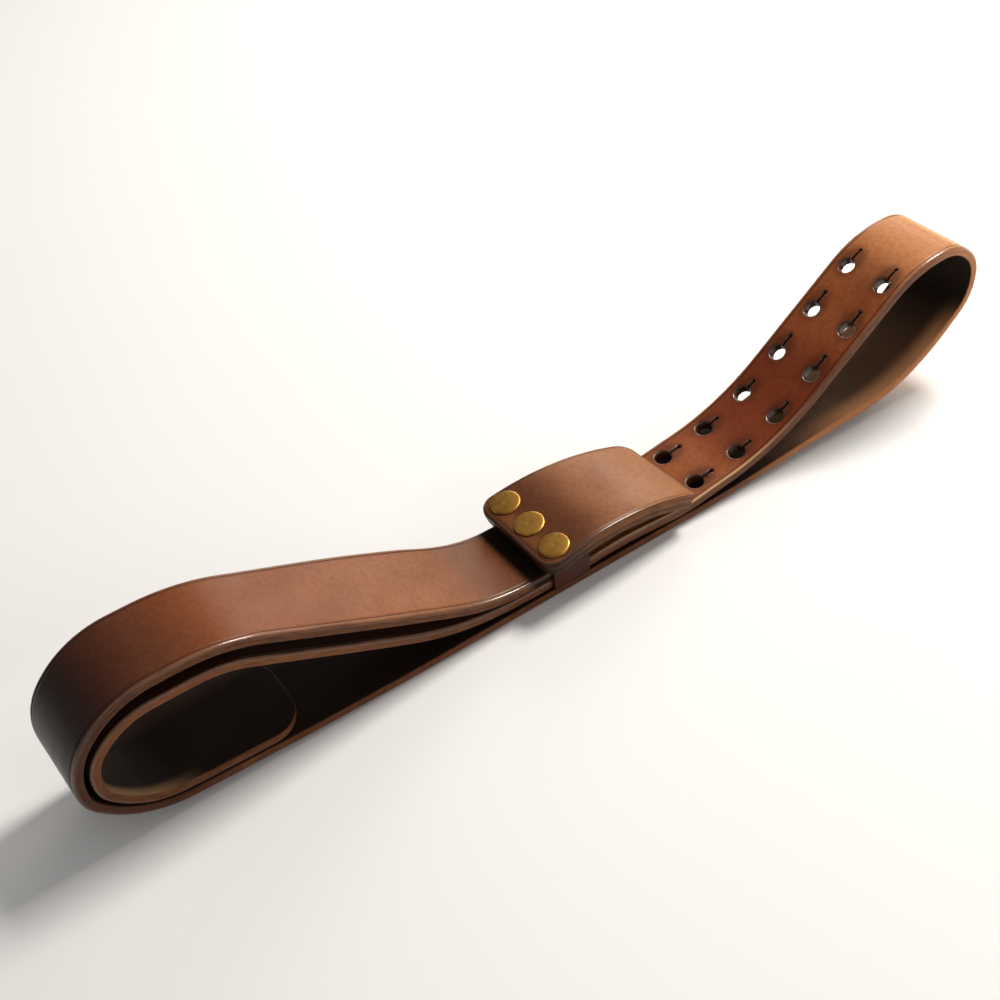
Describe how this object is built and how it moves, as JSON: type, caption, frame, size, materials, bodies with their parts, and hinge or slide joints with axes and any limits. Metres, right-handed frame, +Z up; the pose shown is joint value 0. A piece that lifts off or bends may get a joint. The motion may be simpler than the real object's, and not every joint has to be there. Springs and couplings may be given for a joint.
{
  "type": "leather strop",
  "caption": "Belt-like leather strop: a strap folded into a flattened loop, closed by a riveted cover plate, a keeper and hidden studs in keyholes.",
  "frame": {"origin": "on the surface that the strop lies on, below the middle of its overall box", "axes": "+X along the strop from the loop with the free tip towards the loop past the keyholes, +Y across the strap's width, +Z up"},
  "size_m": [0.4408, 0.05, 0.0712],
  "materials": {
    "strap_leather": "burnished tan grain side, dark brown flesh side",
    "keeper_leather": "burnished brown",
    "backing_leather": "burnished edge, dark flesh side",
    "cover_leather": "waxed tan grain side",
    "cap_brass": "aged satin brass",
    "hidden_brass": "plain brass"
  },
  "bodies": {
    "belt": {"strap": "strap_leather", "keeper": "keeper_leather", "backing_ply_heel": "backing_leather", "cover_ply_heel": "cover_leather", "rivet_cap_near": "cap_brass", "rivet_cap_mid": "cap_brass", "rivet_cap_far": "cap_brass", "rivet_post_near": "hidden_brass", "rivet_post_mid": "hidden_brass", "rivet_post_far": "hidden_brass"},
    "flap": {"backing_ply_flap": "backing_leather", "cover_ply_flap": "cover_leather", "stud_near": "hidden_brass", "stud_far": "hidden_brass", "stud_screw_near": "hidden_brass", "stud_screw_far": "hidden_brass"}
  },
  "joints": [
    {"name": "flap_lift", "type": "hinge", "parent": "belt", "child": "flap", "pos_m": [-0.005, 0, 0.02308], "axis": [0, -1, 0], "range_deg": [0, 25], "stiffness_Nm_per_rad": 0.05}
  ]
}
